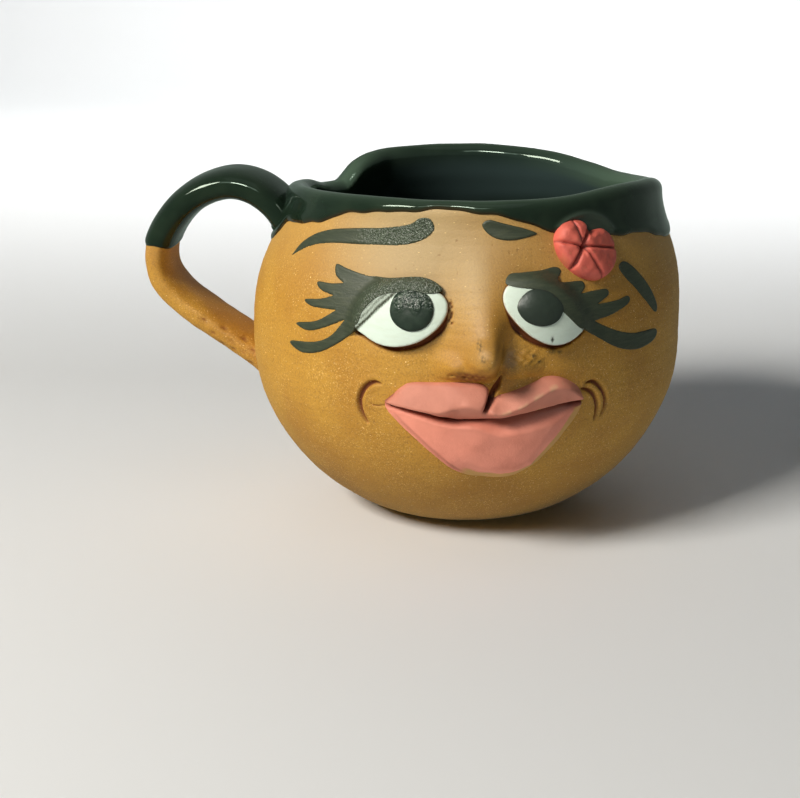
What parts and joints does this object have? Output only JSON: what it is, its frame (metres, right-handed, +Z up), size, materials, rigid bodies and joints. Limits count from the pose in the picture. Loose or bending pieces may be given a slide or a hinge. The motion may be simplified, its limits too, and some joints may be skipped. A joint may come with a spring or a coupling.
{
  "type": "clay mug",
  "caption": "Small round-bellied clay mug with a strap handle, a glazed rim and inside, and a comic face of pressed-on clay and painted slip.",
  "frame": {"origin": "middle of the flat foot that the mug stands on", "axes": "+Z up, -X towards the handle, -Y towards the face, which is turned 10 degrees to +X"},
  "size_m": [0.1058, 0.0898, 0.0669],
  "materials": {
    "terracotta": "bare fired clay, rubbed smooth, with fine mica specks",
    "dark_glaze": "thick glossy green-black glaze",
    "white_slip": "white slip, satin",
    "iris_glaze": "glossy green-black glaze",
    "dark_slip": "dark brown-green brushed slip, half matt",
    "pink_slip": "matt pink slip",
    "red_slip": "matt red slip"
  },
  "bodies": {
    "root": {"bowl": "terracotta", "hair_glaze": "dark_glaze", "handle": "terracotta", "handle_glaze": "dark_glaze", "nose": "terracotta", "left_eye": "white_slip", "right_eye": "white_slip", "left_iris": "iris_glaze", "right_iris": "iris_glaze", "left_lid": "dark_slip", "right_lid": "dark_slip", "left_lashes": "dark_slip", "right_lashes": "dark_slip", "left_brow": "dark_slip", "right_brow_inner": "dark_slip", "right_brow_outer": "dark_slip", "upper_lip": "pink_slip", "lower_lip": "pink_slip", "flower": "red_slip"}
  },
  "joints": []
}
